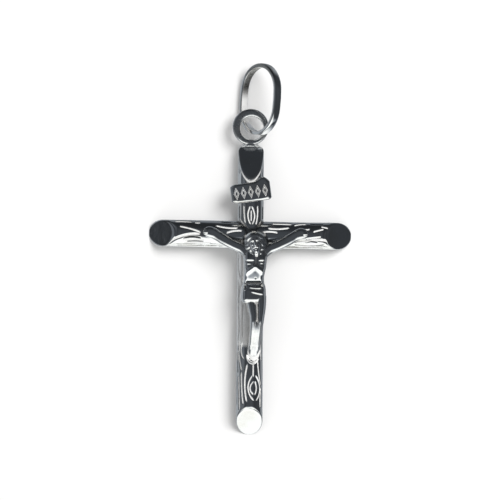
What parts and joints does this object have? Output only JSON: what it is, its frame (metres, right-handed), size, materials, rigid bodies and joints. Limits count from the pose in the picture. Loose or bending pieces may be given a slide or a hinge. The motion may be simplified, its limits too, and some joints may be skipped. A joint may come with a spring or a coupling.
{
  "type": "crucifix pendant",
  "caption": "Small silver crucifix pendant of round log-like rods with a cast figure, a title plaque and an oval ring for a chain.",
  "frame": {"origin": "middle of the bounding box on the surface under the pendant, which lies on its back", "axes": "+Z is the pendant's front, +Y points from its foot to its ring, +X to the viewer's right"},
  "size_m": [0.0212, 0.0388, 0.0052],
  "materials": {
    "antiqued_silver": "polished, darkened in the recesses",
    "polished_silver": "polished"
  },
  "bodies": {
    "root": {"cross": "antiqued_silver", "corpus": "antiqued_silver", "title_scroll": "antiqued_silver", "jump_ring": "polished_silver"}
  },
  "joints": []
}
